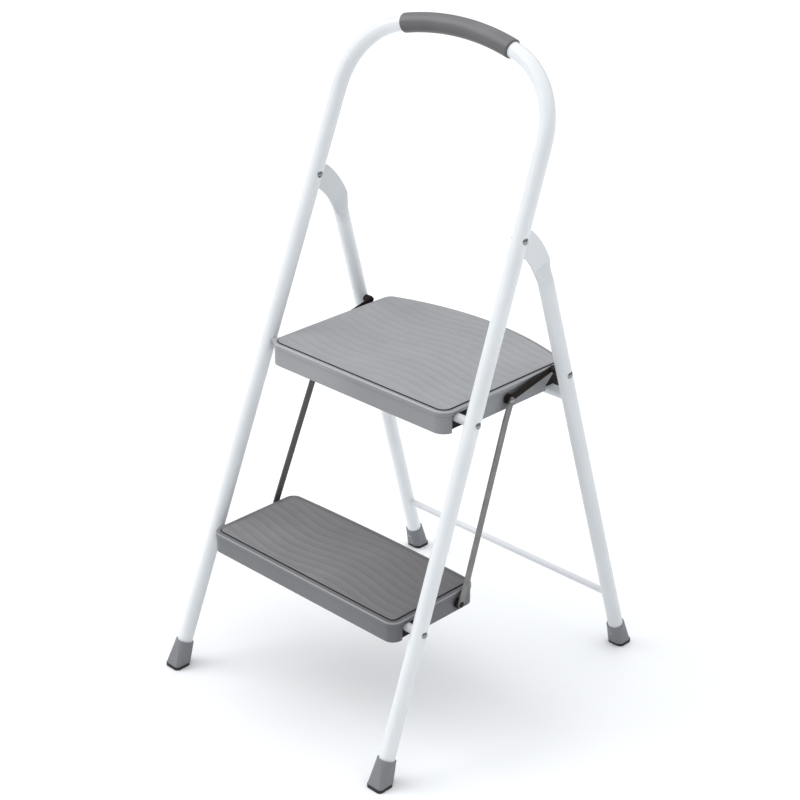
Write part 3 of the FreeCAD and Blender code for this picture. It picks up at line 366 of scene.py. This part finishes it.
# nodes that look different from the rest of their slot: some by their own colour, the left long link and
# the rear frame by painted shade, the left rear leg by painted light
special = {
    "left_long_link": "shaded_left_link",
    "right_short_link": "short_link",
    "left_short_link": "short_link",
    "link_end_rivets": "short_link",
    "short_link_spacers": "dark_fitting",
    "lower_link_pins": "dark_fitting",
    "right_rear_leg": "rear_frame",
    "left_rear_leg": "lit_left_leg",
    "rear_upper_bar": "rear_frame",
    "rear_lower_bar": "rear_frame",
}


def paint(obj, material):
    obj.data.materials.clear()
    obj.data.materials.append(material)


for name, obj in nodes.items():
    which = "upper" if name.startswith("upper") else "lower"
    if slots[name] == "step":
        paint(obj, step_plastic[which])
    elif slots[name] == "tread":
        paint(obj, tread_plastic[which])
    else:
        paint(obj, materials[special.get(name, slots[name])])


# ---------------------------------------------------------------- treads

# the wavy ribs: from rib to rib, how far they swing, and one wave with its place along the tread
RIB_PITCH, RIB_RELIEF = 16.3 * MM, 0.9 * MM
RIB_SWING, WAVE_LENGTH, WAVE_START = 8 * MM, 218 * MM, -13.5 * MM
RIB_LEVEL = 0.35           # share of the relief that lies below the tread's own level
RIB_RUN_OUT = 6 * MM       # the ribs fade out towards the edge
TREAD_RISE = 0.6 * MM      # tread above the top of the CAD mat
LIP, LIP_DROP = 1.2 * MM, 0.5 * MM
BEVEL = 0.9 * MM           # edge of the tread's own colour, above the dark of the groove
COLUMN, ROW, CORNER_COLUMNS = 3.5 * MM, 1 * MM, 9


def mesh_object(name, vertices, faces, smooth=True):
    mesh = bpy.data.meshes.new(name)
    mesh.from_pydata(vertices, [], faces)
    mesh.validate()
    mesh.update()
    for polygon in mesh.polygons:
        polygon.use_smooth = smooth
    obj = bpy.data.objects.new(name, mesh)
    scene.collection.objects.link(obj)
    return obj


def tread(which, crown_radius, front_corner, rear_corner):
    """Moulded tread panel with long wavy ribs, on the outline of the CAD mat."""
    low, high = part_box(which + "_step_mat")
    half, front, rear = high.x, low.y, high.y
    top, floor = high.z + TREAD_RISE, low.z
    centre_y = rear - crown_radius
    corner_x = half - rear_corner
    corner_y = centre_y + math.sqrt((crown_radius - rear_corner) ** 2 - corner_x ** 2)
    arc_end = crown_radius * corner_x / (crown_radius - rear_corner)

    def front_at(x):
        over = max(0, abs(x) - (half - front_corner))
        return front + front_corner - math.sqrt(max(0, front_corner ** 2 - over ** 2))

    def rear_at(x):
        if abs(x) <= arc_end:
            return centre_y + math.sqrt(crown_radius ** 2 - x ** 2)
        return corner_y + math.sqrt(max(0, rear_corner ** 2 - (abs(x) - corner_x) ** 2))

    corner = max(front_corner, rear_corner)
    inner = half - corner
    steps = int(inner * 2 / COLUMN)
    columns = [-inner + 2 * inner * i / steps for i in range(steps + 1)]
    turns = [math.pi / 2 * k / CORNER_COLUMNS for k in range(1, CORNER_COLUMNS + 1)]
    tail = [inner + corner * math.sin(turn) for turn in turns]
    columns = [-x for x in reversed(tail)] + columns + tail
    rows = int((rear - front) / ROW)

    def height(x, y, edge):
        """Surface of the ribs at a distance from the edge, where they run out to a lowered lip."""
        wave = RIB_SWING * math.sin(2 * math.pi * (x - WAVE_START) / WAVE_LENGTH)
        ridge = 0.5 + 0.5 * math.cos(2 * math.pi * (y - wave) / RIB_PITCH)
        ease = min(1, edge / RIB_RUN_OUT)
        lip = max(0, 1 - edge / LIP)
        return top + RIB_RELIEF * (ridge ** 2 - RIB_LEVEL) * ease - LIP_DROP * lip ** 2

    vertices, faces = [], []
    for x in columns:
        y0, y1 = front_at(x), rear_at(x)
        side = half - abs(x)
        for j in range(rows + 1):
            y = y0 + (y1 - y0) * j / rows
            edge = min(side, y - y0, y1 - y)
            vertices.append((x, y, height(x, y, edge)))
    stride = rows + 1
    for i in range(len(columns) - 1):
        for j in range(rows):
            a = i * stride + j
            faces.append((a, a + stride, a + stride + 1, a + 1))
    # a skirt round the edge: a bevel of the tread's own plastic, then the painted shade of the groove
    top_faces = len(faces)
    last = len(columns) - 1
    loop = [i * stride for i in range(last + 1)]
    loop += [last * stride + j for j in range(1, rows + 1)]
    loop += [i * stride + rows for i in range(last - 1, -1, -1)]
    loop += [j for j in range(rows - 1, 0, -1)]
    count = len(loop)
    base = len(vertices)
    for z in (top - BEVEL, floor):
        for index in loop:
            x, y, _ = vertices[index]
            vertices.append((x, y, z))
    rings = (loop, range(base, base + count), range(base + count, base + 2 * count))
    for upper, lower in zip(rings, rings[1:]):
        for k in range(count):
            n = (k + 1) % count
            faces.append((upper[n], upper[k], lower[k], lower[n]))
    obj = mesh_object(which + "_tread", vertices, faces)
    obj.data.materials.append(tread_plastic[which])
    obj.data.materials.append(groove_shade)
    for polygon in obj.data.polygons[top_faces + count:]:
        polygon.material_index = 1
    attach(obj, which + "_step")
    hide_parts(which + "_step_mat")


tread("upper", crown_radius=443.2 * MM, front_corner=13.2 * MM, rear_corner=9.2 * MM)
tread("lower", crown_radius=3991.2 * MM, front_corner=7.2 * MM, rear_corner=7.2 * MM)


# ---------------------------------------------------------------- floor and the last lines

REACH = 45
corners = [(x * REACH, y * REACH, 0) for x, y in ((-1, -1), (1, -1), (1, 1), (-1, 1))]
floor = mesh_object("floor", corners, [(0, 1, 2, 3)], smooth=False)
ground = Tree("floor_white")
ground.colour(ground.ramp(ground.noise(0.6, 2), [(0.3, (0.89, 0.90, 0.915)), (0.7, (0.90, 0.91, 0.92))]))
ground.rough(ground.span(ground.noise(3, 2), 0.6, 0.7))
floor.data.materials.append(ground.material)
